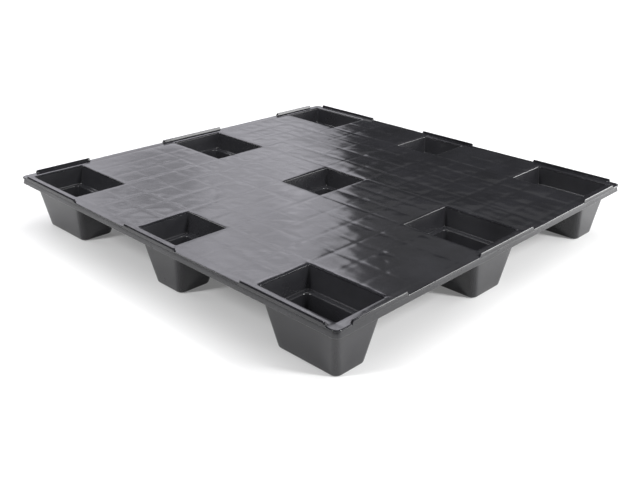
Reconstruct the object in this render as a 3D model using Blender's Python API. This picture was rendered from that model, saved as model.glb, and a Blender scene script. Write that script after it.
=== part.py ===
"""Nestable nine-foot plastic pallet: a flat deck plate, a rib frame welded under it and nine hollow feet.

Metres, +Z up. The origin is on the ground under the middle of the pallet. +X runs from the left side
to the right side and +Y from the front to the back.
"""
from math import ceil, cos, pi, sin

import bpy

# ---- overall sizes
LENGTH = 1.140
WIDTH = 1.140
DECK_HEIGHT = 0.138
CORNER_RADIUS = 0.015

# ---- deck plate
DECK_THICKNESS = 0.004
BRIM_WIDTH = 0.0045
BRIM_DEPTH = 0.0035

# ---- pockets, as openings in the deck: (along X, along Y)
MARGIN_X = 0.0225
MARGIN_Y = 0.0235
CORNER_POCKET = (0.1500, 0.2135)
MIDDLE_POCKET = (0.1790, 0.1465)
WALL_CORNER_RADIUS = 0.004

# ---- raised edge lips, one beside each edge pocket
LIP_HEIGHT = 0.007
LIP_WIDTH = 0.007
LIP_DRAFT = 0.0012
LIP_SETBACK = 0.0004
LIP_END_SLOPE = 0.0024
LIP_END_ROOM = (0.043, 0.029)
LIP_OVERRUN = (0.035, 0.029)
MIDDLE_LIP_OVERRUN = 0.023

# ---- rib frame
SKIRT_HEIGHT = 0.018
SKIRT_WALL = 0.004
RIB_DEPTH = 0.024
RIB_WALL = 0.004
RIB_RUN_OUT = 0.040
CELL_MAX = 0.0875
COLLAR_WALL = 0.008

# ---- feet
FOOT_WALL = 0.004
FLOOR_THICKNESS = 0.005
FLANGE_WIDTH = 0.006
FLANGE_THICKNESS = 0.003
LEDGE_DEPTH = 0.050
NEST_PITCH = 0.070
NEST_CLEARANCE = 0.001
FOOT_TOP_RADIUS = 0.012
FOOT_BASE_RADIUS = 0.016
CAVITY_TOP_RADIUS = 0.010
CAVITY_FLOOR_RADIUS = 0.008
FOOT_EDGE_RADIUS = 0.004
CAVITY_EDGE_RADIUS = 0.003

# how far each side of a foot's base stands in from its pocket's opening
TAPER_OUTER = (0.025, 0.016)
TAPER_INNER = (0.036, 0.029)
TAPER_MIDDLE = (0.032, 0.025)

WELD_GAP = 0.0003
THROUGH = 0.010

# ---- smoothness of the round stretches
DECK_CORNER_STEPS = 5
FOOT_CORNER_STEPS = 3
BRIM_STEPS = 3
EDGE_STEPS = 2
SHARP_ANGLE = 35 * pi / 180

# ---- levels that follow from the sizes above
DECK_UNDERSIDE = DECK_HEIGHT - DECK_THICKNESS
FRAME_TOP = DECK_UNDERSIDE - WELD_GAP
SKIRT_BOTTOM = DECK_HEIGHT - SKIRT_HEIGHT
RIB_BOTTOM = DECK_UNDERSIDE - RIB_DEPTH
FLANGE_BOTTOM = FRAME_TOP - FLANGE_THICKNESS
LEDGE_LEVEL = DECK_HEIGHT - LEDGE_DEPTH

BLACK = (0.018, 0.018, 0.020)
COLUMNS = ("left", "middle", "right")
ROWS = ("front", "middle", "back")


def clear_scene():
    for old in list(bpy.data.objects):
        bpy.data.objects.remove(old, do_unlink=True)


def plastic(name, roughness):
    material = bpy.data.materials.new(name)
    material.use_nodes = True
    shader = material.node_tree.nodes["Principled BSDF"]
    shader.inputs["Base Color"].default_value = (*BLACK, 1.0)
    shader.inputs["Roughness"].default_value = roughness
    shader.inputs["Metallic"].default_value = 0.0
    return material


# ---- plan layout

def spans(total, margin, corner, middle):
    """The three pocket openings along one axis, from the low side to the high side."""
    half = total / 2
    low = -half + margin
    return ((low, low + corner), (-middle / 2, middle / 2), (-low - corner, -low))


POCKETS_X = spans(LENGTH, MARGIN_X, CORNER_POCKET[0], MIDDLE_POCKET[0])
POCKETS_Y = spans(WIDTH, MARGIN_Y, CORNER_POCKET[1], MIDDLE_POCKET[1])


def tapers(index, axis):
    """Taper of a foot's low and high side along an axis, for its place in the row of three."""
    outer, inner, middle = TAPER_OUTER[axis], TAPER_INNER[axis], TAPER_MIDDLE[axis]
    return ((outer, inner), (middle, middle), (inner, outer))[index]


def outer_inset(taper, level):
    """How far a foot's outer face stands in from the pocket's opening at a level."""
    at_top = BRIM_WIDTH - FOOT_WALL
    return at_top + (taper - at_top) * (DECK_UNDERSIDE - level) / DECK_UNDERSIDE


def ledge_inset(taper):
    """The ledge leaves room for the outer face of the next pallet's foot when the two are nested."""
    return outer_inset(taper, LEDGE_LEVEL - NEST_PITCH) - NEST_CLEARANCE


def grid_lines(total, margin, pockets):
    """Rib lines along one axis: on every pocket edge and evenly between them."""
    edges = [edge for span in pockets for edge in span]
    lines = [edges[0]]
    for start, end in zip(edges, edges[1:]):
        count = ceil((end - start) / CELL_MAX)
        lines += [start + (end - start) * (i + 1) / count for i in range(count)]
    return [-total / 2] + lines + [total / 2]


# ---- mesh helpers

def rounded_ring(x_span, y_span, level, radius, steps):
    """A rectangle with round corners, anticlockwise from its low corner."""
    (x0, x1), (y0, y1) = x_span, y_span
    ring = []
    centres = ((x0 + radius, y0 + radius), (x1 - radius, y0 + radius),
               (x1 - radius, y1 - radius), (x0 + radius, y1 - radius))
    for corner, (cx, cy) in enumerate(centres):
        for step in range(steps + 1):
            angle = pi + corner * pi / 2 + step / steps * pi / 2
            ring.append((cx + radius * cos(angle), cy + radius * sin(angle), level))
    return ring


def inset_span(span, low, high):
    return span[0] + low, span[1] - high


def new_object(name, vertices, faces, material=None):
    mesh = bpy.data.meshes.new(name)
    mesh.from_pydata(vertices, [], faces)
    mesh.update()
    thing = bpy.data.objects.new(name, mesh)
    bpy.context.scene.collection.objects.link(thing)
    if material:
        mesh.materials.append(material)
    return thing


def loft(rings):
    """Vertices and faces of one closed skin through rings of equal length, capped at both ends."""
    count = len(rings[0])
    vertices = [point for ring in rings for point in ring]
    faces = [tuple(reversed(range(count)))]
    for level in range(len(rings) - 1):
        base = level * count
        for i in range(count):
            j = (i + 1) % count
            faces.append((base + i, base + j, base + count + j, base + count + i))
    last = (len(rings) - 1) * count
    faces.append(tuple(range(last, last + count)))
    return vertices, faces


def merge(shells):
    """Several separate closed skins as one vertex list and one face list."""
    vertices, faces = [], []
    for shell_vertices, shell_faces in shells:
        base = len(vertices)
        vertices += shell_vertices
        faces += [tuple(base + i for i in face) for face in shell_faces]
    return vertices, faces


def box_shell(x_span, y_span, low, high):
    rings = [[(x_span[0], y_span[0], z), (x_span[1], y_span[0], z),
              (x_span[1], y_span[1], z), (x_span[0], y_span[1], z)] for z in (low, high)]
    return loft(rings)


def cutter(name, shells):
    thing = new_object(name, *merge(shells))
    thing.hide_render = True
    thing.display_type = "WIRE"
    return thing


def boolean(target, tool, operation):
    modifier = target.modifiers.new(tool.name, "BOOLEAN")
    modifier.operation = operation
    modifier.solver = "EXACT"
    modifier.object = tool


def smooth(thing):
    thing.data.shade_smooth()
    thing.data.set_sharp_from_angle(angle=SHARP_ANGLE)


# ---- deck plate

def opening_shell(x_span, y_span):
    """The space cut out of the deck plate for one pocket, with a rounded brim."""
    profile = [(0.0, DECK_HEIGHT + THROUGH)]
    for step in range(BRIM_STEPS + 1):
        angle = pi / 2 * (1 - step / BRIM_STEPS)
        profile.append((BRIM_WIDTH * cos(angle), DECK_HEIGHT - BRIM_DEPTH * (1 - sin(angle))))
    profile.append((BRIM_WIDTH, DECK_UNDERSIDE - THROUGH))
    rings = [rounded_ring(inset_span(x_span, inset, inset), inset_span(y_span, inset, inset), level,
                          WALL_CORNER_RADIUS, FOOT_CORNER_STEPS)
             for inset, level in reversed(profile)]
    return loft(rings)


def lip_spans(pockets, total, axis):
    """Lips beside the three pockets along one edge."""
    half = total / 2
    low = (-half + LIP_END_ROOM[axis], pockets[0][1] + LIP_OVERRUN[axis])
    middle = (pockets[1][0] - MIDDLE_LIP_OVERRUN, pockets[1][1] + MIDDLE_LIP_OVERRUN)
    return low, middle, (-low[1], -low[0])


def lip_shell(along, side, across):
    """One lip, as a drafted bar with sloping ends; it runs along X when across is 1, along Y when 0."""
    edge = (LENGTH / 2, WIDTH / 2)[across] - LIP_SETBACK
    root = DECK_HEIGHT - DECK_THICKNESS / 2
    rings = []
    for draft, slope, level in ((0.0, 0.0, root), (0.0, 0.0, DECK_HEIGHT),
                                (LIP_DRAFT, LIP_END_SLOPE, DECK_HEIGHT + LIP_HEIGHT)):
        near, far = sorted((side * (edge - draft), side * (edge - LIP_WIDTH + draft)))
        run = (along[0] + slope, along[1] - slope)
        x_span, y_span = (run, (near, far)) if across == 1 else ((near, far), run)
        rings.append([(x_span[0], y_span[0], level), (x_span[1], y_span[0], level),
                      (x_span[1], y_span[1], level), (x_span[0], y_span[1], level)])
    return loft(rings)


def make_deck_plate():
    outline = ((-LENGTH / 2, LENGTH / 2), (-WIDTH / 2, WIDTH / 2))
    rings = [rounded_ring(*outline, level, CORNER_RADIUS, DECK_CORNER_STEPS)
             for level in (DECK_UNDERSIDE, DECK_HEIGHT)]
    plate = new_object("deck_plate", *loft(rings), plastic("deck_black", 0.30))
    lips = [lip_shell(run, side, 1) for run in lip_spans(POCKETS_X, LENGTH, 0) for side in (-1, 1)]
    lips += [lip_shell(run, side, 0) for run in lip_spans(POCKETS_Y, WIDTH, 1) for side in (-1, 1)]
    boolean(plate, cutter("lips", lips), "UNION")
    openings = [opening_shell(x_span, y_span) for x_span in POCKETS_X for y_span in POCKETS_Y]
    boolean(plate, cutter("openings", openings), "DIFFERENCE")
    smooth(plate)


# ---- rib frame

def foot_ring(column, row, level, inset_of, radius, grow=0.0):
    """A level line of a foot, whose four sides stand in by what inset_of gives for their taper."""
    x_low, x_high = (inset_of(taper) - grow for taper in tapers(column, 0))
    y_low, y_high = (inset_of(taper) - grow for taper in tapers(row, 1))
    return rounded_ring(inset_span(POCKETS_X[column], x_low, x_high),
                        inset_span(POCKETS_Y[row], y_low, y_high), level, radius, FOOT_CORNER_STEPS)


def foot_radius(level):
    share = level / DECK_UNDERSIDE
    return FOOT_BASE_RADIUS + (FOOT_TOP_RADIUS - FOOT_BASE_RADIUS) * share


def foot_outer_ring(column, row, level, grow=0.0):
    return foot_ring(column, row, level, lambda taper: outer_inset(taper, level),
                     foot_radius(level) + grow, grow)


def collar_shell(column, row):
    """The solid collar that is left standing round a foot when the cells are cut."""
    grow = WELD_GAP + COLLAR_WALL
    ring = foot_outer_ring(column, row, FRAME_TOP, grow)
    return loft([[(x, y, level) for x, y, _ in ring]
                 for level in (RIB_BOTTOM - 2 * THROUGH, FRAME_TOP + 2 * THROUGH)])


def socket_shell(column, row):
    """The space that a foot and its flange take out of the rib frame."""
    low = RIB_BOTTOM - THROUGH
    shelf = FLANGE_BOTTOM - WELD_GAP
    shelf_grow = FLANGE_WIDTH + 2 * WELD_GAP
    return loft([foot_outer_ring(column, row, low, WELD_GAP),
                 foot_outer_ring(column, row, shelf, WELD_GAP),
                 foot_outer_ring(column, row, shelf, shelf_grow),
                 foot_outer_ring(column, row, FRAME_TOP + THROUGH, shelf_grow)])


def inside_pocket(x_span, y_span):
    x_mid, y_mid = sum(x_span) / 2, sum(y_span) / 2
    in_x = any(low < x_mid < high for low, high in POCKETS_X)
    in_y = any(low < y_mid < high for low, high in POCKETS_Y)
    return in_x and in_y


def beside_pocket(x_span, y_span):
    """True for a margin cell that lies between a pocket and the skirt."""
    x_mid, y_mid = sum(x_span) / 2, sum(y_span) / 2
    in_x = any(low < x_mid < high for low, high in POCKETS_X)
    in_y = any(low < y_mid < high for low, high in POCKETS_Y)
    at_x_edge = abs(x_mid) > LENGTH / 2 - MARGIN_X
    at_y_edge = abs(y_mid) > WIDTH / 2 - MARGIN_Y
    return (at_x_edge and (in_y or at_y_edge)) or (at_y_edge and in_x)


def cell_shells():
    x_lines = grid_lines(LENGTH, MARGIN_X, POCKETS_X)
    y_lines = grid_lines(WIDTH, MARGIN_Y, POCKETS_Y)
    shells = []
    for i, x_span in enumerate(zip(x_lines, x_lines[1:])):
        for j, y_span in enumerate(zip(y_lines, y_lines[1:])):
            if inside_pocket(x_span, y_span) or beside_pocket(x_span, y_span):
                continue
            x_cell = inset_span(x_span, SKIRT_WALL if i == 0 else RIB_WALL / 2,
                                SKIRT_WALL if i == len(x_lines) - 2 else RIB_WALL / 2)
            y_cell = inset_span(y_span, SKIRT_WALL if j == 0 else RIB_WALL / 2,
                                SKIRT_WALL if j == len(y_lines) - 2 else RIB_WALL / 2)
            shells.append(box_shell(x_cell, y_cell, RIB_BOTTOM - THROUGH, FRAME_TOP + THROUGH))
    return shells


def make_rib_frame():
    full = ((-LENGTH / 2, LENGTH / 2), (-WIDTH / 2, WIDTH / 2))
    lifted = tuple(inset_span(span, RIB_RUN_OUT, RIB_RUN_OUT) for span in full)
    rings = [rounded_ring(*lifted, RIB_BOTTOM, CORNER_RADIUS, DECK_CORNER_STEPS),
             rounded_ring(*full, SKIRT_BOTTOM, CORNER_RADIUS, DECK_CORNER_STEPS),
             rounded_ring(*full, FRAME_TOP, CORNER_RADIUS, DECK_CORNER_STEPS)]
    frame = new_object("rib_frame", *loft(rings), plastic("frame_black", 0.40))
    places = [(column, row) for column in range(3) for row in range(3)]
    cells = cutter("cells", cell_shells())
    boolean(cells, cutter("collars", [collar_shell(*place) for place in places]), "DIFFERENCE")
    boolean(frame, cells, "DIFFERENCE")
    boolean(frame, cutter("sockets", [socket_shell(*place) for place in places]), "DIFFERENCE")
    smooth(frame)


# ---- feet

def foot_rings(column, row):
    """Level lines from the middle of the underside, up the outside, over the rim and down the inside."""
    rings = []
    for step in range(EDGE_STEPS + 1):
        angle = pi / 2 * step / EDGE_STEPS
        level = FOOT_EDGE_RADIUS * (1 - cos(angle))
        rings.append(foot_outer_ring(column, row, level, -FOOT_EDGE_RADIUS * (1 - sin(angle))))
    rings.append(foot_outer_ring(column, row, FLANGE_BOTTOM))
    rings.append(foot_outer_ring(column, row, FLANGE_BOTTOM, FLANGE_WIDTH))
    rings.append(foot_outer_ring(column, row, FRAME_TOP, FLANGE_WIDTH))
    for level in (FRAME_TOP, LEDGE_LEVEL):
        rings.append(foot_ring(column, row, level, lambda taper: outer_inset(taper, level) + FOOT_WALL,
                               WALL_CORNER_RADIUS))
    rings.append(foot_ring(column, row, LEDGE_LEVEL, ledge_inset, CAVITY_TOP_RADIUS))

    def floor_inset(taper):
        return outer_inset(taper, FLOOR_THICKNESS) + FLOOR_THICKNESS

    for step in range(EDGE_STEPS + 1):
        angle = pi / 2 * step / EDGE_STEPS
        level = FLOOR_THICKNESS + CAVITY_EDGE_RADIUS * (1 - sin(angle))
        rings.append(foot_ring(column, row, level, floor_inset, CAVITY_FLOOR_RADIUS,
                               -CAVITY_EDGE_RADIUS * (1 - cos(angle))))
    return rings


def foot_name(column, row):
    if column == row == 1:
        return "foot_centre"
    return f"foot_{ROWS[row]}_{COLUMNS[column]}"


def make_feet():
    material = plastic("foot_black", 0.42)
    for column in range(3):
        for row in range(3):
            smooth(new_object(foot_name(column, row), *loft(foot_rings(column, row)), material))


clear_scene()
make_deck_plate()
make_rib_frame()
make_feet()
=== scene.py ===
"""Looks of the nestable nine-foot plastic pallet: detailed skins, plastic, light and camera.

Everything is in metres in the frame's own axes: +X to the right, +Y to the back, +Z up.
"""
from math import ceil, cos, hypot, pi, radians, sin

import bmesh
import bpy
import numpy as np
from mathutils import Matrix, Vector


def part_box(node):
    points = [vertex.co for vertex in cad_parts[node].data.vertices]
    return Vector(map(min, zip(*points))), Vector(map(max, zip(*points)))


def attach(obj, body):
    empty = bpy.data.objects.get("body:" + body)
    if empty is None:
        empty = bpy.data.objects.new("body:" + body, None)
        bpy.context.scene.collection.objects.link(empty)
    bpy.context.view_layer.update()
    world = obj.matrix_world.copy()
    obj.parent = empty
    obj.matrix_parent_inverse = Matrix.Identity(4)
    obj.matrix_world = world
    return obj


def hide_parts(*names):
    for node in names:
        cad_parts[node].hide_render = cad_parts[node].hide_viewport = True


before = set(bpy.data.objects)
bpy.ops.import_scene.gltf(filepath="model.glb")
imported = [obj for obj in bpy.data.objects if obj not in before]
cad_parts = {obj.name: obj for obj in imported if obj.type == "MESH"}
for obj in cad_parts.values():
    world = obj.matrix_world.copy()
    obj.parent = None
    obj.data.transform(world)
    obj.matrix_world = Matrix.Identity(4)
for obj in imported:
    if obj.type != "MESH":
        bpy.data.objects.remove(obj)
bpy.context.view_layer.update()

# ---- levels and outline, from the frame
BODY = "root"
DECK_LOW, DECK_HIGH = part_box("deck_plate")
RIBS_LOW, RIBS_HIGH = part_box("rib_frame")
HALF_X = DECK_HIGH.x
HALF_Y = DECK_HIGH.y
LIP_HEIGHT = 0.007
SKIRT_HEIGHT = 0.018
DECK_TOP = DECK_HIGH.z - LIP_HEIGHT
DECK_UNDERSIDE = DECK_LOW.z
FRAME_TOP = RIBS_HIGH.z
RIB_BOTTOM = RIBS_LOW.z
SKIRT_BOTTOM = DECK_TOP - SKIRT_HEIGHT

COLUMNS = ("left", "middle", "right")
ROWS = ("front", "middle", "back")

# ---- sizes of the moulded details
CORNER_RADIUS = 0.015
BRIM_WIDTH = 0.0045
BRIM_DEPTH = 0.0035
# degrees that the brim has already turned down where it leaves the deck
BRIM_START = 28
BRIM_STEPS = 7
OPENING_RADIUS = 0.0030
WALL_RADIUS = 0.0040
FLANGE_WIDTH = 0.006
FLANGE_THICKNESS = 0.003
FLANGE_OVERHANG = 0.0055
LIP_WIDTH = 0.007
LIP_DRAFT = 0.0018
LIP_SETBACK = 0.0004
LIP_END_SLOPE = 0.0024
LIP_EDGE = 0.0007
LIP_END_ROOM = (0.043, 0.029)
LIP_OVERRUN = (0.035, 0.029)
MIDDLE_LIP_OVERRUN = 0.023
RIM_EDGE = 0.0026
# strips of the deck's skin that belong to the rim and to each opening, not to its grid
RIM_STRIP = 0.0125
COLLAR_STRIP = 0.009
SEAM_EDGE = 0.0010
NOTCHES = (0.280, 0.230)
NOTCH_DEPTH = 0.0007
NOTCH_WIDTH = 0.0009
CELL_MAX = 0.0875
SKIRT_WALL = 0.004
SKIRT_DRAFT = 0.0034
SKIRT_ROOM = 0.0020
SKIRT_EDGE = 0.0018
RIB_WALL = 0.004
RIB_RUN_OUT = 0.040
COLLAR_WALL = 0.008
CELL_RADIUS = 0.0035
CELL_FLARE = 0.0009
WELD_GAP = 0.0003
THROUGH = 0.010

FOOT_WALL = 0.004
FLOOR_THICKNESS = 0.005
LEDGE_DEPTH = 0.050
NEST_PITCH = 0.070
NEST_CLEARANCE = 0.001
LEDGE_LEVEL = DECK_TOP - LEDGE_DEPTH
FOOT_TOP_RADIUS = 0.012
FOOT_BASE_RADIUS = 0.016
CAVITY_TOP_RADIUS = 0.012
CAVITY_FLOOR_RADIUS = 0.016
FOOT_EDGE = 0.0045
# how far in the first ring of a foot's flat underside lies, in widths of its rounded edge
FOOT_BASE_INSET = 2.6
LEDGE_EDGE = 0.0040
FLOOR_FILLET = 0.004
TAPER_OUTER = (0.025, 0.016)
TAPER_INNER = (0.036, 0.029)
TAPER_MIDDLE = (0.032, 0.025)

# faces that meet at more than this, in degrees, meet in a crease
DECK_CREASE = 50
PIECE_CREASE = 35

# ---- how far the deck's skin leaves its plane
SINK_DEPTH = 0.00034
SINK_WIDTH = 0.0050
# each sink line's share of the depth: least, spread, and how fast it changes from line to line
SINK_SHARE, SINK_SPREAD, SINK_TURN = 0.75, 0.5, 2.3
DIAGONAL_DEPTH = 0.8
DIAGONAL_WIDTH = 1.2
CROSSING_RISE = 0.00055
PILLOW = 0.00046
# a cell's crown, as a share of PILLOW, from sunk to raised
CROWNS = (-0.7, 1.0)
WARP = 0.00040
RIPPLE = 0.00004
RIPPLES = 14
RIPPLE_TURNS = (70.0, 190.0)
CELL_SEED = 7
# sunk marks where the plastic was let into the mould
GATE_MARKS = ((-0.283, 0.114), (-0.277, -0.108), (0.244, 0.077), (-0.032, -0.169), (-0.284, -0.439))
GATE_DEPTH = 0.0007
GATE_WIDTH = 0.011
# the raised stub in a mark's middle, as shares of its depth and width
GATE_STUB = 0.7
GATE_STUB_WIDTH = 0.45
# the relief at the outline, as a share, and how far in it is whole
RIM_SHARE = 0.35
RIM_FADE = 0.045
GRID_STEP = 0.0055
# grid lines beside a pocket's edge, measured in from it
POCKET_LINES = (-0.006, -0.003, 0.0, 0.0032, 0.0072)
OVER_RIB_WIDTH = 0.0035
# waves of the deck's warp: turns along X and Y in radians per metre, phase, share of WARP
WAVES = ((7.1, 3.9, 0.4, 0.55), (-4.3, 8.7, 2.1, 0.45),
         (12.7, 9.1, 4.0, 0.40), (-15.3, 11.9, 1.2, 0.36),
         (23.1, -17.3, 5.1, 0.20), (19.7, 27.1, 3.3, 0.18),
         (-37.0, 21.0, 0.9, 0.10), (31.0, 43.0, 2.6, 0.08))

# ---- light: radiance where white is 1, angles in degrees, headings anticlockwise from +X
LIGHT_CENTRE = Vector((0.0, 0.0, DECK_TOP))
WORLD_LIGHT = 0.05
# how much the floor glows near the pallet and far from it, and the distances between
FLOOR_GLOW = 0.16
FAR_GLOW = 1.0
GLOW_SPAN = (1.2, 5.0)
# name, heading, elevation, distance, (width, height), radiance
KEY = ("key", 65.6, 23.0, 6.5, (5.92, 4.22), 1.0)
OVERHEAD = ("overhead", 42.0, 89.0, 5.0, (6.0, 6.0), 2.4)
PANELS = (("overhead_shine", 42.0, 80.0, 4.5, (1.8, 1.0), 3.0),
          ("fill_right", 327.0, 14.0, 6.0, (4.5, 2.8), 8.2),
          ("fill_back", 20.0, 33.0, 6.0, (4.2, 2.4), 0.15),
          ("front_right", 284.0, 34.0, 5.0, (0.5, 1.8), 80.0),
          ("front_left", 167.0, 36.0, 5.0, (0.5, 1.6), 60.0),
          ("side_left", 124.0, 32.0, 5.0, (1.4, 1.6), 6.0))
# the key's brightness is LOW + RISE * height ** POWER, with height from 0 to 1
KEY_LOW, KEY_RISE, KEY_POWER = 0.75, 2.2, 1.2
# its right edge leans: sideways shift per height, and the height where the shift is nothing
KEY_LEAN, KEY_LEAN_LEVEL = 0.05, 0.34
# how much its folds brighten and darken it, and how finely they vary across and up
KEY_FOLDS = 0.60
KEY_FOLD_TURNS = (4.0, 17.0, 1.0)
# how it fades in from its right edge: (share of its width, share of its brightness)
KEY_EDGE = ((0.0, 0.0), (0.014, 0.10), (0.028, 0.52), (0.055, 0.78), (0.13, 1.0))
KEY_COLOUR = (0.975, 0.96, 1.035)

# ---- camera: where it stands, the way it looks and how far it dips and rolls, in degrees
CAMERA_PLACE = (-1.5008, -1.3939, 0.8616)
CAMERA_HEADING = 43.0796
CAMERA_DIP = 23.7024
CAMERA_ROLL = 1.4027
CAMERA_LENS = 45.383
CAMERA_SENSOR = 36.0


# ---- plan layout

def foot_name(column, row):
    if column == row == 1:
        return "foot_centre"
    return f"foot_{ROWS[row]}_{COLUMNS[column]}"


def pocket_span(index, axis):
    """The deck opening of one column or row, from the foot under it."""
    column, row = (index, 1) if axis == 0 else (1, index)
    low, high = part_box(foot_name(column, row))
    return low[axis] + FLANGE_OVERHANG, high[axis] - FLANGE_OVERHANG


POCKETS = [[pocket_span(index, axis) for index in range(3)] for axis in range(2)]
HALVES = (HALF_X, HALF_Y)


def rib_lines(axis):
    """Rib lines along one axis: on every pocket edge and evenly between them."""
    edges = [edge for span in POCKETS[axis] for edge in span]
    lines = [edges[0]]
    for start, end in zip(edges, edges[1:]):
        count = ceil((end - start) / CELL_MAX)
        lines += [start + (end - start) * (i + 1) / count for i in range(count)]
    return lines


RIBS = [rib_lines(axis) for axis in range(2)]


def lip_spans(axis):
    """Where the three lips run that lie along this axis."""
    pockets, half = POCKETS[axis], HALVES[axis]
    low = (-half + LIP_END_ROOM[axis], pockets[0][1] + LIP_OVERRUN[axis])
    middle = (pockets[1][0] - MIDDLE_LIP_OVERRUN, pockets[1][1] + MIDDLE_LIP_OVERRUN)
    return low, middle, (-low[1], -low[0])


LIPS = [lip_spans(axis) for axis in range(2)]


def tapers(index, axis):
    """Taper of a foot's low and high side along an axis, for its place in the row of three."""
    outer, inner, middle = TAPER_OUTER[axis], TAPER_INNER[axis], TAPER_MIDDLE[axis]
    return ((outer, inner), (middle, middle), (inner, outer))[index]


def outer_inset(taper, level):
    """How far a foot's outer face stands in from the pocket's opening at a level."""
    at_top = BRIM_WIDTH - FOOT_WALL
    return at_top + (taper - at_top) * (DECK_UNDERSIDE - level) / DECK_UNDERSIDE


def ledge_inset(taper):
    return outer_inset(taper, LEDGE_LEVEL - NEST_PITCH) - NEST_CLEARANCE


# ---- mesh helpers

def new_piece(name, vertices, faces, node, slot, material):
    """A mesh piece that stands for a CAD node and rides on its body."""
    mesh = bpy.data.meshes.new(name)
    mesh.from_pydata(vertices, [], faces)
    mesh.update()
    piece = bpy.data.objects.new(name, mesh)
    bpy.context.scene.collection.objects.link(piece)
    mesh.materials.append(material)
    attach(piece, BODY)
    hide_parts(node)
    return piece


def shade(piece, angle):
    """Smooth shading, with creases where faces meet at more than an angle."""
    piece.data.shade_smooth()
    piece.data.set_sharp_from_angle(angle=radians(angle))


def rounded_ring(x_span, y_span, level, radius, steps, sides=1):
    """A rectangle with round corners, anticlockwise from its low corner, each side cut into parts."""
    (x0, x1), (y0, y1) = x_span, y_span
    centres = ((x0 + radius, y0 + radius), (x1 - radius, y0 + radius),
               (x1 - radius, y1 - radius), (x0 + radius, y1 - radius))
    ring = []
    for corner, (cx, cy) in enumerate(centres):
        arc = []
        for step in range(steps + 1):
            angle = pi + corner * pi / 2 + step / steps * pi / 2
            arc.append((cx + radius * cos(angle), cy + radius * sin(angle)))
        ring += arc
        nx, ny = centres[(corner + 1) % 4]
        turn = pi + (corner + 1) * pi / 2
        end = (nx + radius * cos(turn), ny + radius * sin(turn))
        for i in range(1, sides):
            share = i / sides
            ring.append((arc[-1][0] + (end[0] - arc[-1][0]) * share,
                         arc[-1][1] + (end[1] - arc[-1][1]) * share))
    return [(x, y, level) for x, y in ring]


def inset_span(span, low, high):
    return span[0] + low, span[1] - high


def loft(rings, cap=True):
    """Vertices and faces of one skin through rings of equal length."""
    count = len(rings[0])
    vertices = [point for ring in rings for point in ring]
    faces = []
    for level in range(len(rings) - 1):
        base = level * count
        for i in range(count):
            j = (i + 1) % count
            faces.append((base + i, base + j, base + count + j, base + count + i))
    if cap:
        last = (len(rings) - 1) * count
        faces.append(tuple(reversed(range(count))))
        faces.append(tuple(range(last, last + count)))
    return vertices, faces


def merge(shells):
    vertices, faces = [], []
    for shell_vertices, shell_faces in shells:
        base = len(vertices)
        vertices += shell_vertices
        faces += [tuple(base + i for i in face) for face in shell_faces]
    return vertices, faces


def cutter(name, shells):
    vertices, faces = merge(shells)
    mesh = bpy.data.meshes.new(name)
    mesh.from_pydata(vertices, [], faces)
    return bpy.data.objects.new(name, mesh)


def cut(piece, tool):
    """Cuts the tool out of the piece and removes the tool."""
    bpy.context.scene.collection.objects.link(tool)
    modifier = piece.modifiers.new(tool.name, "BOOLEAN")
    modifier.operation = "DIFFERENCE"
    modifier.solver = "EXACT"
    modifier.object = tool
    graph = bpy.context.evaluated_depsgraph_get()
    cut_mesh = bpy.data.meshes.new_from_object(piece.evaluated_get(graph))
    piece.modifiers.clear()
    piece.data = cut_mesh
    bpy.data.objects.remove(tool, do_unlink=True)


# ---- deck skin

def merged_lines(low, high, firm, loose, step, least=0.0004):
    """Grid lines through all firm places and the loose ones that stay clear, at most a step apart."""
    marks = sorted(set([low, high] + [place for place in firm if low < place < high]))
    for place in sorted(loose):
        if low < place < high and min(abs(place - mark) for mark in marks) > least:
            marks.append(place)
    marks.sort()
    lines = [marks[0]]
    for start, end in zip(marks, marks[1:]):
        count = max(1, ceil((end - start) / step - 1e-6))
        lines += [start + (end - start) * (i + 1) / count for i in range(count)]
    return lines


def deck_lines(axis):
    half = HALVES[axis]
    reach = half - RIM_STRIP
    firm = []
    for low, high in POCKETS[axis]:
        firm += [low - COLLAR_STRIP, high + COLLAR_STRIP]
    loose = list(RIBS[axis])
    for low, high in POCKETS[axis]:
        for offset in POCKET_LINES:
            loose += [low + offset, high - offset]
    for low, high in LIPS[axis]:
        for share in (0.0, 0.2, 0.5, 0.8, 1.0):
            loose += [low + LIP_END_SLOPE * share, high - LIP_END_SLOPE * share]
    for share in (0.2, 0.4, 0.6, 0.8, 1.0):
        place = reach + (RIM_STRIP - CORNER_RADIUS) * share
        loose += [place, -place]
    for side in (-1, 1):
        for offset in (-2, -1, 0, 1, 2):
            loose.append(side * NOTCHES[axis] + offset * NOTCH_WIDTH)
    return merged_lines(-reach, reach, firm, loose, GRID_STEP)


def within(value, spans, margin=0.0):
    return any(low - margin <= value <= high + margin for low, high in spans)


def boundary_of(xs, ys):
    """Points round a rectangle of grid lines, anticlockwise from its low corner."""
    points = [(x, ys[0]) for x in xs[:-1]]
    points += [(xs[-1], y) for y in ys[:-1]]
    points += [(x, ys[-1]) for x in reversed(xs[1:])]
    points += [(xs[0], y) for y in reversed(ys[1:])]
    return points


def onto_ring(point, x_span, y_span, radius):
    """The point of a round-cornered rectangle that lies nearest."""
    (x0, x1), (y0, y1) = x_span, y_span
    cx = min(max(point[0], x0 + radius), x1 - radius)
    cy = min(max(point[1], y0 + radius), y1 - radius)
    dx, dy = point[0] - cx, point[1] - cy
    reach = hypot(dx, dy)
    return cx + dx / reach * radius, cy + dy / reach * radius


def lip_share(along, axis):
    """From 0 on the flat rim to 1 on a lip, with a short slope at a lip's ends."""
    best = 0.0
    for low, high in LIPS[axis]:
        into = min(along - low, high - along) / LIP_END_SLOPE
        best = max(best, min(max(into, 0.0), 1.0))
    return best


RIM_FLAT = [(SEAM_EDGE, 0.0), (SEAM_EDGE * 0.3, 0.3), (0.0, 1.0)]


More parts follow.
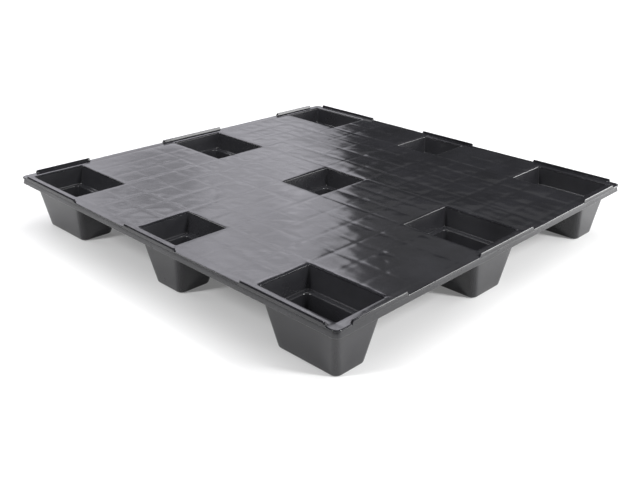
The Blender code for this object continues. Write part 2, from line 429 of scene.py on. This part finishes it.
def rim_profile(share, notch):
    """(inset from the outline, level) from the seam, up the outer face and in to the deck's plane."""
    top = DECK_TOP
    flat, lip = [], []
    for inset, rise in RIM_FLAT:
        flat.append((inset, DECK_UNDERSIDE + rise * SEAM_EDGE))
        lip.append((inset, DECK_UNDERSIDE + rise * SEAM_EDGE))
    flat.append((0.0, top - RIM_EDGE))
    lip.append((LIP_SETBACK, top - RIM_EDGE * 0.4))
    for step in range(1, 5):
        angle = pi / 2 * step / 4
        flat.append((RIM_EDGE * (1 - cos(angle)), top - RIM_EDGE * (1 - sin(angle))))
        lip.append((LIP_SETBACK + LIP_DRAFT + LIP_EDGE * (1 - cos(angle)),
                    top + LIP_HEIGHT - LIP_EDGE * (1 - sin(angle))))
    crest = LIP_SETBACK + LIP_WIDTH - LIP_DRAFT - LIP_EDGE
    for step in range(5):
        angle = pi / 2 * step / 4
        lip.append((crest + LIP_EDGE * sin(angle), top + LIP_HEIGHT - LIP_EDGE * (1 - cos(angle))))
        flat.append((0.0030 + step * 0.0008, top))
    foot = LIP_SETBACK + LIP_WIDTH
    for step in range(4):
        angle = pi / 2 * step / 3
        lip.append((foot + LIP_EDGE * (1 - cos(angle)), top + LIP_EDGE * (1 - sin(angle))))
        flat.append((0.0070 + step * 0.0005, top))
    profile = []
    for (fi, fz), (li, lz) in zip(flat, lip):
        profile.append((fi + (li - fi) * share + notch, fz + (lz - fz) * share))
    return profile


def notch_depth(along, axis):
    depth = 0.0
    for side in (-1, 1):
        depth += NOTCH_DEPTH * np.exp(-(((along - side * NOTCHES[axis]) / NOTCH_WIDTH) ** 2))
    return float(depth)


def rim_rings(points):
    """Rings round the deck from its outer lower edge to the grid, one vertex for each boundary point."""
    columns = []
    for x, y in points:
        ox, oy = onto_ring((x, y), (-HALF_X, HALF_X), (-HALF_Y, HALF_Y), CORNER_RADIUS)
        on_x_side = abs(abs(oy) - HALF_Y) < 1e-6
        axis, along = (0, ox) if on_x_side else (1, oy)
        straight = on_x_side or abs(abs(ox) - HALF_X) < 1e-6
        share = lip_share(along, axis) if straight else 0.0
        notch = notch_depth(along, axis) if straight else 0.0
        column = []
        for order, (inset, level) in enumerate(rim_profile(share, 0.0)):
            sunk = inset + notch * (1.0 if order < 8 else max(0.0, 1 - (order - 7) / 3))
            reach_x, reach_y = HALF_X - sunk, HALF_Y - sunk
            px, py = onto_ring((x, y), (-reach_x, reach_x), (-reach_y, reach_y), CORNER_RADIUS - sunk)
            column.append((px, py, level))
        column.append((x, y, DECK_TOP))
        columns.append(column)
    return [[column[order] for column in columns] for order in range(len(columns[0]))]


def opening_rings(points, x_span, y_span):
    """Rings from the grid in to an opening, over its rounded brim and down its wall."""
    rings = [[(x, y, DECK_TOP) for x, y in points]]
    half_way = []
    for x, y in points:
        ox, oy = onto_ring((x, y), x_span, y_span, OPENING_RADIUS)
        half_way.append(((x + ox) / 2, (y + oy) / 2, DECK_TOP))
    rings.append(half_way)
    start = radians(90 - BRIM_START)
    for step in range(BRIM_STEPS + 1):
        angle = start * (1 - step / BRIM_STEPS)
        inset = BRIM_WIDTH * (cos(angle) - cos(start)) / (1 - cos(start))
        level = DECK_TOP - BRIM_DEPTH * (sin(start) - sin(angle)) / sin(start)
        spans = inset_span(x_span, inset, inset), inset_span(y_span, inset, inset)
        radius = WALL_RADIUS + (OPENING_RADIUS - WALL_RADIUS) * (1 - inset / BRIM_WIDTH)
        rings.append([(*onto_ring(point, *spans, radius), level) for point in points])
    spans = inset_span(x_span, BRIM_WIDTH, BRIM_WIDTH), inset_span(y_span, BRIM_WIDTH, BRIM_WIDTH)
    rings.append([(*onto_ring(point, *spans, WALL_RADIUS), DECK_UNDERSIDE) for point in points])
    return rings


def deck_shell():
    xs, ys = deck_lines(0), deck_lines(1)
    shells = []
    vertices = [(x, y, DECK_TOP) for y in ys for x in xs]
    faces = []
    wide = len(xs)
    x_in = [within((a + b) / 2, POCKETS[0], COLLAR_STRIP) for a, b in zip(xs, xs[1:])]
    y_in = [within((a + b) / 2, POCKETS[1], COLLAR_STRIP) for a, b in zip(ys, ys[1:])]
    for j in range(len(ys) - 1):
        for i in range(wide - 1):
            if not (x_in[i] and y_in[j]):
                corner = j * wide + i
                faces.append((corner, corner + 1, corner + wide + 1, corner + wide))
    shells.append((vertices, faces))
    shells.append(loft(rim_rings(boundary_of(xs, ys)), cap=False))
    for x_span in POCKETS[0]:
        for y_span in POCKETS[1]:
            across = [x for x in xs if within(x, [x_span], COLLAR_STRIP + 1e-7)]
            along = [y for y in ys if within(y, [y_span], COLLAR_STRIP + 1e-7)]
            rings = opening_rings(boundary_of(across, along), x_span, y_span)
            shells.append(loft(rings, cap=False))
    return merge(shells)


def cell_share(place, lines):
    """Which cell a place is in along one axis, and how far across it."""
    lines = np.array(lines)
    index = np.clip(np.searchsorted(lines, place) - 1, 0, len(lines) - 2)
    return index, np.clip((place - lines[index]) / (lines[index + 1] - lines[index]), 0, 1)


def sink_lines(x, y):
    """The deck sinks a little over every rib, more over some than over others."""
    rise = np.zeros_like(x)
    for axis, place in ((0, x), (1, y)):
        for number, line in enumerate(RIBS[axis]):
            depth = SINK_DEPTH * (SINK_SHARE + SINK_SPREAD * abs(sin(number * SINK_TURN + axis)))
            rise -= depth * np.exp(-(((place - line) / SINK_WIDTH) ** 2))
    return rise


def uneven_cells(x, y):
    """Rib crossings at uneven heights, cells crowned up or down between them, and seeded ripples."""
    draw = np.random.RandomState(CELL_SEED)
    count_x, count_y = (len(lines) for lines in RIBS)
    crossings = draw.uniform(-1, 1, (count_x, count_y))
    crowns = draw.uniform(*CROWNS, (count_x, count_y))
    (i, u), (j, v) = (cell_share(place, RIBS[axis]) for axis, place in ((0, x), (1, y)))
    front = crossings[i, j] * (1 - u) + crossings[i + 1, j] * u
    back = crossings[i, j + 1] * (1 - u) + crossings[i + 1, j + 1] * u
    rise = CROSSING_RISE * (front * (1 - v) + back * v)
    rise += PILLOW * crowns[i, j] * np.sin(pi * u) * np.sin(pi * v)
    for _ in range(RIPPLES):
        angle = draw.uniform(0, pi)
        pitch = draw.uniform(*RIPPLE_TURNS)
        phase = draw.uniform(0, 2 * pi)
        rise += RIPPLE * np.sin(pitch * (cos(angle) * x + sin(angle) * y) + phase)
    return rise


def diagonal_sinks(x, y):
    """Sink lines over the diagonal ribs, the same on the left and on the right."""
    rise = np.zeros_like(x)
    for side in (-1, 1):
        for x0, y0, x1, y1 in DIAGONALS:
            ax, bx = side * x0, side * x1
            dx, dy = bx - ax, y1 - y0
            share = np.clip(((x - ax) * dx + (y - y0) * dy) / (dx ** 2 + dy ** 2), 0, 1)
            away = np.hypot(x - ax - share * dx, y - y0 - share * dy)
            rise -= SINK_DEPTH * DIAGONAL_DEPTH * np.exp(-((away / (SINK_WIDTH * DIAGONAL_WIDTH)) ** 2))
    return rise


def gate_marks(x, y):
    """A round hollow with a stub in its middle at each gate."""
    rise = np.zeros_like(x)
    for mark_x, mark_y in GATE_MARKS:
        away = np.hypot(x - mark_x, y - mark_y)
        stub = GATE_STUB * np.exp(-((away / (GATE_WIDTH * GATE_STUB_WIDTH)) ** 2))
        rise += GATE_DEPTH * (stub - np.exp(-((away / GATE_WIDTH) ** 2)))
    return rise


def relief(x, y):
    """How far the deck's skin rises over its plane, less towards the outline."""
    rise = sink_lines(x, y) + uneven_cells(x, y)
    for turns_x, turns_y, phase, share in WAVES:
        rise += WARP * share * np.sin(turns_x * x + turns_y * y + phase)
    rise += diagonal_sinks(x, y) + gate_marks(x, y)
    into = np.minimum(HALF_X - np.abs(x), HALF_Y - np.abs(y))
    return rise * (RIM_SHARE + (1 - RIM_SHARE) * np.clip(into / RIM_FADE, 0, 1))


def diagonal_ribs():
    """Bracing ribs across three cells between the left and middle columns, from corner to corner."""
    x0, x1 = RIBS[0][3], RIBS[0][4]
    found = []
    for number, low in enumerate((1, 5, 8)):
        y0, y1 = RIBS[1][low], RIBS[1][low + 1]
        found.append((x0, y0, x1, y1) if number % 2 == 0 else (x0, y1, x1, y0))
    return found


DIAGONALS = diagonal_ribs()


def close_underside(mesh_data):
    """Fills the plate's flat underside between the outline and the openings."""
    bm = bmesh.new()
    bm.from_mesh(mesh_data)
    bmesh.ops.remove_doubles(bm, verts=bm.verts, dist=1e-6)
    loose = [vertex for vertex in bm.verts if not vertex.link_faces]
    bmesh.ops.delete(bm, geom=loose, context="VERTS")
    rim = [edge for edge in bm.edges if edge.is_boundary]
    bmesh.ops.triangle_fill(bm, use_beauty=True, edges=rim, normal=(0, 0, -1))
    bmesh.ops.recalc_face_normals(bm, faces=bm.faces)
    bm.to_mesh(mesh_data)
    bm.free()


def near_ribs(places):
    """From 0 between the ribs to 1 over one, for the plastic's gloss."""
    near = np.zeros(len(places))
    for axis in range(2):
        for line in RIBS[axis]:
            near = np.maximum(near, np.exp(-(((places[:, axis] - line) / OVER_RIB_WIDTH) ** 2)))
    return near


def make_deck(material):
    piece = new_piece("deck_skin", *deck_shell(), "deck_plate", "deck_skin", material)
    mesh = piece.data
    close_underside(mesh)
    places = np.zeros(len(mesh.vertices) * 3)
    mesh.vertices.foreach_get("co", places)
    places = places.reshape(-1, 3)
    # the relief fades to nothing at the underside and at the lips' tops
    share = np.clip((places[:, 2] - DECK_UNDERSIDE) / (DECK_TOP - DECK_UNDERSIDE), 0, 1)
    share *= np.clip((DECK_HIGH.z - places[:, 2]) / LIP_HEIGHT, 0, 1)
    places[:, 2] += relief(places[:, 0], places[:, 1]) * share
    mesh.vertices.foreach_set("co", places.reshape(-1))
    over_rib = mesh.attributes.new("over_rib", "FLOAT", "POINT")
    over_rib.data.foreach_set("value", near_ribs(places).astype(np.float32))
    mesh.update()
    shade(piece, DECK_CREASE)


# ---- rib frame

def foot_ring(column, row, level, inset_of, radius, grow=0.0, steps=8, sides=10):
    x_low, x_high = (inset_of(taper) - grow for taper in tapers(column, 0))
    y_low, y_high = (inset_of(taper) - grow for taper in tapers(row, 1))
    return rounded_ring(inset_span(POCKETS[0][column], x_low, x_high),
                        inset_span(POCKETS[1][row], y_low, y_high), level, radius, steps, sides)


def foot_radius(level):
    return FOOT_BASE_RADIUS + (FOOT_TOP_RADIUS - FOOT_BASE_RADIUS) * level / DECK_UNDERSIDE


def outer_ring(column, row, level, grow=0.0, steps=8, sides=10):
    return foot_ring(column, row, level, lambda taper: outer_inset(taper, level),
                     foot_radius(level) + grow, grow, steps, sides)


def underside_level(x, y):
    """The rib frame's lower side: flat, rising to the skirt near the outline."""
    into = min(HALF_X - abs(x), HALF_Y - abs(y))
    share = min(max(into / RIB_RUN_OUT, 0.0), 1.0)
    return SKIRT_BOTTOM + (RIB_BOTTOM - SKIRT_BOTTOM) * share


def cell_shell(x_span, y_span):
    """The space of one cell: round upright corners, and a flare that rounds the ribs' lower edges."""
    rings = []
    profile = [(CELL_FLARE, -THROUGH)]
    for step in range(4):
        angle = pi / 2 * step / 3
        profile.append((CELL_FLARE * (1 - sin(angle)), CELL_FLARE * (1 - cos(angle))))
    for grow, rise in profile:
        spans = inset_span(x_span, -grow, -grow), inset_span(y_span, -grow, -grow)
        ring = rounded_ring(*spans, 0.0, CELL_RADIUS + grow, 3)
        rings.append([(x, y, underside_level(x, y) + rise) for x, y, _ in ring])
    rings.append(rounded_ring(x_span, y_span, FRAME_TOP + THROUGH, CELL_RADIUS, 3))
    return loft(rings)


def beside_pocket(x_span, y_span):
    x_mid, y_mid = sum(x_span) / 2, sum(y_span) / 2
    in_x, in_y = within(x_mid, POCKETS[0]), within(y_mid, POCKETS[1])
    at_x_edge = abs(x_mid) > -POCKETS[0][0][0]
    at_y_edge = abs(y_mid) > -POCKETS[1][0][0]
    return (in_x and in_y) or (at_x_edge and (in_y or at_y_edge)) or (at_y_edge and in_x)


def cell_shells():
    x_lines = [-HALF_X] + RIBS[0] + [HALF_X]
    y_lines = [-HALF_Y] + RIBS[1] + [HALF_Y]
    shells = []
    for i, x_span in enumerate(zip(x_lines, x_lines[1:])):
        for j, y_span in enumerate(zip(y_lines, y_lines[1:])):
            if beside_pocket(x_span, y_span):
                continue
            wall = SKIRT_WALL + SKIRT_ROOM
            x_cell = inset_span(x_span, wall if i == 0 else RIB_WALL / 2,
                                wall if i == len(x_lines) - 2 else RIB_WALL / 2)
            y_cell = inset_span(y_span, wall if j == 0 else RIB_WALL / 2,
                                wall if j == len(y_lines) - 2 else RIB_WALL / 2)
            shells.append(cell_shell(x_cell, y_cell))
    return shells


def collar_shell(column, row):
    ring = outer_ring(column, row, FRAME_TOP, WELD_GAP + COLLAR_WALL, 5, 1)
    return loft([[(x, y, level) for x, y, _ in ring]
                 for level in (RIB_BOTTOM - 2 * THROUGH, FRAME_TOP + 2 * THROUGH)])


def socket_shell(column, row):
    shelf = FRAME_TOP - FLANGE_THICKNESS - WELD_GAP
    grow = FLANGE_WIDTH + 2 * WELD_GAP
    return loft([outer_ring(column, row, RIB_BOTTOM - THROUGH, WELD_GAP, 6, 1),
                 outer_ring(column, row, shelf, WELD_GAP, 6, 1),
                 outer_ring(column, row, shelf, grow, 6, 1),
                 outer_ring(column, row, FRAME_TOP + THROUGH, grow, 6, 1)])


def frame_shell():
    """The frame before its cells are cut: a skirt with a rounded foot and a sloping underside."""
    full = ((-HALF_X, HALF_X), (-HALF_Y, HALF_Y))
    slope = (SKIRT_BOTTOM - RIB_BOTTOM) / RIB_RUN_OUT

    def ring(inset, level, radius):
        return rounded_ring(*(inset_span(span, inset, inset) for span in full), level, radius, 10)

    rings = [ring(RIB_RUN_OUT, RIB_BOTTOM, CORNER_RADIUS),
             ring(SKIRT_EDGE, SKIRT_BOTTOM - slope * SKIRT_EDGE, CORNER_RADIUS - SKIRT_EDGE)]
    for step in range(1, 5):
        angle = pi / 2 * step / 4
        inset = SKIRT_EDGE * (1 - sin(angle))
        rings.append(ring(inset, SKIRT_BOTTOM + SKIRT_EDGE * (1 - cos(angle)), CORNER_RADIUS - inset))
    for inset, drop in ((0.0, SEAM_EDGE), (SEAM_EDGE * 0.3, SEAM_EDGE * 0.3), (SEAM_EDGE, 0.0)):
        drafted = SKIRT_DRAFT + inset
        rings.append(ring(drafted, FRAME_TOP - drop, CORNER_RADIUS - drafted))
    return loft(rings)


def make_frame(material):
    piece = new_piece("frame_moulding", *frame_shell(), "rib_frame", "frame_plastic", material)
    places = [(column, row) for column in range(3) for row in range(3)]
    cells = cutter("cells", cell_shells())
    bpy.context.scene.collection.objects.link(cells)
    cut(cells, cutter("collars", [collar_shell(*place) for place in places]))
    bpy.context.scene.collection.objects.unlink(cells)
    cut(piece, cells)
    cut(piece, cutter("sockets", [socket_shell(*place) for place in places]))
    shade(piece, PIECE_CREASE)


# ---- feet

def foot_shell(column, row):
    """Rings from the underside, up the outside, over the flange and down inside to the floor."""
    rings = []

    def outside(level, grow=0.0):
        rings.append(outer_ring(column, row, level, grow))

    def inside(level, inset_of, radius, grow=0.0):
        rings.append(foot_ring(column, row, level, inset_of, radius, grow))

    steps = 6
    outside(0.0, -FOOT_EDGE * FOOT_BASE_INSET)
    for step in range(steps + 1):
        angle = pi / 2 * step / steps
        outside(FOOT_EDGE * (1 - cos(angle)), -FOOT_EDGE * (1 - sin(angle)))
    flange = FRAME_TOP - FLANGE_THICKNESS
    for share in (0.15, 0.3, 0.45, 0.6, 0.75, 0.9):
        outside(FOOT_EDGE + (flange - FOOT_EDGE) * share)
    outside(flange)
    outside(flange, FLANGE_WIDTH)
    outside(FRAME_TOP, FLANGE_WIDTH)

    def upper(level):
        return lambda taper: outer_inset(taper, level) + FOOT_WALL

    inside(FRAME_TOP, upper(FRAME_TOP), WALL_RADIUS)
    for share in (0.25, 0.5, 0.75):
        level = FRAME_TOP + (LEDGE_LEVEL + LEDGE_EDGE - FRAME_TOP) * share
        inside(level, upper(level), WALL_RADIUS)
    for step in range(steps):
        angle = pi / 2 * step / (steps - 1)
        inside(LEDGE_LEVEL + LEDGE_EDGE * (1 - sin(angle)), upper(LEDGE_LEVEL), WALL_RADIUS,
               -LEDGE_EDGE * (1 - cos(angle)))
    for step in range(steps):
        angle = pi / 2 * step / (steps - 1)
        inside(LEDGE_LEVEL - LEDGE_EDGE * (1 - cos(angle)), ledge_inset, CAVITY_TOP_RADIUS,
               LEDGE_EDGE * (1 - sin(angle)))

    def floor_inset(taper):
        return outer_inset(taper, FLOOR_THICKNESS) + FLOOR_THICKNESS

    low = FLOOR_THICKNESS + FLOOR_FILLET
    start = LEDGE_LEVEL - LEDGE_EDGE
    for share in (0.2, 0.4, 0.6, 0.8):
        level = start + (low - start) * share
        radius = CAVITY_TOP_RADIUS + (CAVITY_FLOOR_RADIUS - CAVITY_TOP_RADIUS) * share

        def between(taper, share=share):
            return ledge_inset(taper) + (floor_inset(taper) - ledge_inset(taper)) * share

        inside(level, between, radius)
    for step in range(steps):
        angle = pi / 2 * step / (steps - 1)
        inside(FLOOR_THICKNESS + FLOOR_FILLET * (1 - sin(angle)), floor_inset, CAVITY_FLOOR_RADIUS,
               -FLOOR_FILLET * (1 - cos(angle)))
    return loft(rings)


def make_foot(column, row, material):
    name = foot_name(column, row)
    piece = new_piece(name + "_shell", *foot_shell(column, row), name, "foot_plastic", material)
    shade(piece, PIECE_CREASE)


# ---- plastic

class Nodes:
    """Short calls that build one node tree, whose noises read one output of a place node."""

    def __init__(self, tree, kind, output):
        self.tree = tree
        self.place = tree.nodes.new(kind).outputs[output]

    def node(self, kind, **values):
        node = self.tree.nodes.new(kind)
        for key, value in values.items():
            if key in node.inputs:
                node.inputs[key].default_value = value
            else:
                setattr(node, key, value)
        return node

    def link(self, source, target):
        self.tree.links.new(source, target)

    def noise(self, scale, detail=3.0, rough=0.5, stretch=(1, 1, 1)):
        mapping = self.node("ShaderNodeMapping")
        mapping.inputs["Scale"].default_value = stretch
        self.link(self.place, mapping.inputs["Vector"])
        noise = self.node("ShaderNodeTexNoise", Scale=scale, Detail=detail, Roughness=rough)
        self.link(mapping.outputs["Vector"], noise.inputs["Vector"])
        return noise.outputs["Fac"]

    def span(self, source, low, high, to_low, to_high):
        node = self.node("ShaderNodeMapRange")
        node.inputs["From Min"].default_value = low
        node.inputs["From Max"].default_value = high
        node.inputs["To Min"].default_value = to_low
        node.inputs["To Max"].default_value = to_high
        self.link(source, node.inputs["Value"])
        return node.outputs["Result"]

    def add(self, first, second, operation="ADD"):
        node = self.node("ShaderNodeMath", operation=operation)
        for source, target in ((first, node.inputs[0]), (second, node.inputs[1])):
            if isinstance(source, (int, float)):
                target.default_value = source
            else:
                self.link(source, target)
        return node.outputs["Value"]

    def colours(self, source, low, high):
        ramp = self.node("ShaderNodeValToRGB")
        ramp.color_ramp.elements[0].position = 0.35
        ramp.color_ramp.elements[0].color = (*low, 1)
        ramp.color_ramp.elements[1].position = 0.65
        ramp.color_ramp.elements[1].color = (*high, 1)
        self.link(source, ramp.inputs["Fac"])
        return ramp.outputs["Color"]

    def bump(self, source, strength, distance, under=None):
        node = self.node("ShaderNodeBump", Strength=strength, Distance=distance)
        self.link(source, node.inputs["Height"])
        if under is not None:
            self.link(under, node.inputs["Normal"])
        return node.outputs["Normal"]


def new_material(name):
    """A material, its node calls and its shader."""
    material = bpy.data.materials.new(name)
    material.use_nodes = True
    tree = material.node_tree
    return material, Nodes(tree, "ShaderNodeTexCoord", "Object"), tree.nodes["Principled BSDF"]


def black_plastic(name, dark, pale, roughness, grain, wear, over_rib=False):
    """Moulded black polyethylene: cloudy black, patchy gloss, fine grain and light rubs.

    Over a rib the deck's gloss is a little duller.
    """
    material, nodes, shader = new_material(name)
    cloud = nodes.noise(scale=9.0, detail=4.0, rough=0.6)
    nodes.link(nodes.colours(cloud, dark, pale), shader.inputs["Base Color"])
    patches = nodes.span(nodes.noise(scale=14.0, detail=5.0, rough=0.55), 0.3, 0.7, *roughness)
    streaks = nodes.noise(scale=60.0, detail=6.0, rough=0.7, stretch=(1.0, 0.12, 1.0))
    rubs = nodes.span(streaks, 0.56, 0.74, 0.0, 0.07 * wear)
    flecks = nodes.span(nodes.noise(scale=900.0, detail=2.0), 0.60, 0.80, 0.0, 0.05 * wear)
    rough = nodes.add(nodes.add(patches, rubs), flecks)
    fine = nodes.bump(nodes.noise(scale=1400.0, detail=3.0), grain, 0.00008)
    peel = nodes.bump(nodes.noise(scale=48.0, detail=2.0, rough=0.4), 0.25 * wear, 0.0005, fine)
    nodes.link(peel, shader.inputs["Normal"])
    shader.inputs["IOR"].default_value = 1.52
    if over_rib:
        rib = nodes.node("ShaderNodeAttribute", attribute_name="over_rib").outputs["Fac"]
        rough = nodes.add(rough, nodes.span(rib, 0.0, 1.0, 0.0, 0.06))
    nodes.link(rough, shader.inputs["Roughness"])
    return material


# ---- floor, light and camera

def make_floor():
    radius, parts, level = 24.0, 96, -0.0004
    mesh = bpy.data.meshes.new("floor")
    ring = [(radius * cos(2 * pi * i / parts), radius * sin(2 * pi * i / parts), level)
            for i in range(parts)]
    mesh.from_pydata(ring, [], [tuple(range(parts))])
    floor = bpy.data.objects.new("floor", mesh)
    bpy.context.scene.collection.objects.link(floor)
    material, nodes, shader = new_material("pale_floor")
    nodes.link(nodes.colours(nodes.noise(scale=0.6), (0.61, 0.61, 0.613), (0.64, 0.64, 0.64)),
               shader.inputs["Base Color"])
    shader.inputs["Roughness"].default_value = 0.9
    shader.inputs["Specular IOR Level"].default_value = 0.1
    shader.inputs["Emission Color"].default_value = (1.0, 1.0, 1.0, 1.0)
    far = nodes.node("ShaderNodeVectorMath", operation="LENGTH")
    nodes.link(nodes.place, far.inputs[0])
    glow = nodes.span(far.outputs["Value"], *GLOW_SPAN, FLOOR_GLOW, FAR_GLOW)
    nodes.link(glow, shader.inputs["Emission Strength"])
    mesh.materials.append(material)


def panel(name, heading, elevation, distance, size, radiance):
    """A soft light that faces the pallet, seen from it at a heading and an elevation."""
    light = bpy.data.lights.new(name, "AREA")
    light.shape = "RECTANGLE"
    light.size, light.size_y = size
    light.energy = radiance * pi * size[0] * size[1]
    thing = bpy.data.objects.new(name, light)
    turn, rise = radians(heading), radians(elevation)
    towards = Vector((cos(turn) * cos(rise), sin(turn) * cos(rise), sin(rise)))
    thing.location = LIGHT_CENTRE + towards * distance
    thing.rotation_euler = (-towards).to_track_quat("-Z", "Y").to_euler()
    thing.visible_camera = False
    bpy.context.scene.collection.objects.link(thing)
    return thing


def shape_key(light):
    """Makes the softbox brighter to its top, faded at its right edge, and uneven across soft folds."""
    light.use_nodes = True
    nodes = Nodes(light.node_tree, "ShaderNodeNewGeometry", "Parametric")
    emission = next(node for node in light.node_tree.nodes if node.type == "EMISSION")
    split = nodes.node("ShaderNodeSeparateXYZ")
    nodes.link(nodes.place, split.inputs["Vector"])
    across, up = split.outputs["X"], split.outputs["Y"]
    rise = nodes.add(nodes.add(nodes.add(up, KEY_POWER, "POWER"), KEY_RISE, "MULTIPLY"), KEY_LOW)
    over = nodes.add(up, KEY_LEAN_LEVEL, "SUBTRACT")
    leaned = nodes.add(across, nodes.add(over, KEY_LEAN, "MULTIPLY"), "SUBTRACT")
    edge = nodes.node("ShaderNodeValToRGB")
    ramp = edge.color_ramp
    ramp.interpolation = "EASE"
    while len(ramp.elements) < len(KEY_EDGE):
        ramp.elements.new(0.5)
    for element, (place, share) in zip(ramp.elements, KEY_EDGE):
        element.position = place
        element.color = (share, share, share, 1)
    nodes.link(leaned, edge.inputs["Fac"])
    cloth = nodes.noise(scale=1.0, detail=2.0, rough=0.5, stretch=KEY_FOLD_TURNS)
    folds = nodes.span(cloth, 0.3, 0.7, 1 - KEY_FOLDS, 1 + KEY_FOLDS)
    level = nodes.add(nodes.add(rise, edge.outputs["Color"], "MULTIPLY"), folds, "MULTIPLY")
    nodes.link(level, emission.inputs["Strength"])
    emission.inputs["Color"].default_value = (*KEY_COLOUR, 1.0)


def make_lights():
    """A dim world, the shaped softbox behind the pallet, a light overhead and six smaller panels."""
    world = bpy.data.worlds.new("studio")
    world.use_nodes = True
    background = world.node_tree.nodes["Background"]
    background.inputs["Color"].default_value = (0.95, 0.97, 1.0, 1)
    background.inputs["Strength"].default_value = WORLD_LIGHT
    bpy.context.scene.world = world
    shape_key(panel(*KEY).data)
    panel(*OVERHEAD).visible_glossy = False
    for settings in PANELS:
        panel(*settings)


def make_camera():
    """A camera out past the front left corner, placed and turned like the photograph's."""
    data = bpy.data.cameras.new("camera")
    data.lens = CAMERA_LENS
    data.sensor_width = CAMERA_SENSOR
    camera = bpy.data.objects.new("camera", data)
    turn = Matrix.Rotation(radians(CAMERA_HEADING - 90), 4, "Z")
    tilt = Matrix.Rotation(radians(90 - CAMERA_DIP), 4, "X")
    roll = Matrix.Rotation(radians(CAMERA_ROLL), 4, "Z")
    camera.matrix_world = Matrix.Translation(CAMERA_PLACE) @ turn @ tilt @ roll
    bpy.context.scene.collection.objects.link(camera)
    bpy.context.scene.camera = camera


make_camera()
make_floor()
make_lights()
bpy.context.scene.view_settings.view_transform = "Standard"

make_deck(black_plastic("deck_black_polyethylene", (0.009, 0.009, 0.0106), (0.014, 0.014, 0.0165),
                        roughness=(0.09, 0.14), grain=0.05, wear=0.8, over_rib=True))
make_frame(black_plastic("frame_black_polyethylene", (0.012, 0.012, 0.014), (0.019, 0.019, 0.022),
                         roughness=(0.25, 0.31), grain=0.06, wear=0.5))
FOOT_BLACK = black_plastic("foot_black_polyethylene", (0.015, 0.015, 0.017), (0.022, 0.022, 0.025),
                           roughness=(0.21, 0.27), grain=0.05, wear=0.35)
for column in range(3):
    for row in range(3):
        make_foot(column, row, FOOT_BLACK)
